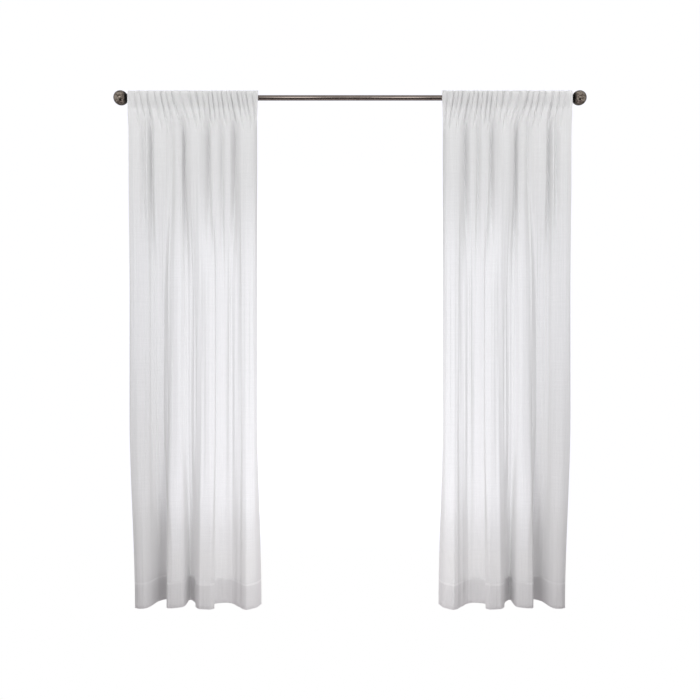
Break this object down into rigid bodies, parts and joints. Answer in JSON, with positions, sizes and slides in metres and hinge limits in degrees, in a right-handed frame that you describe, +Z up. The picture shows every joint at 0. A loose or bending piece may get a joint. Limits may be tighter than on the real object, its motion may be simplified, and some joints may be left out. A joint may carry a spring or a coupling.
{
  "type": "sheer voile curtain pair on a curtain rod",
  "caption": "Pair of floor-length sheer voile rod-pocket panels, gathered on a round metal rod with ball finials.",
  "frame": {"origin": "middle of the rod, on its axis", "axes": "+X along the rod to the viewer's right, +Y away from the viewer towards the wall, +Z up"},
  "size_m": [1.96, 0.1343, 2.134],
  "materials": {
    "voile": "fine plain-weave sheer voile, white, matt, lets light through",
    "bronze": "glossy dark oil-rubbed bronze"
  },
  "bodies": {
    "root": {"curtain_left": "voile", "curtain_right": "voile", "rod": "bronze", "finial_left": "bronze", "finial_right": "bronze"}
  },
  "joints": []
}
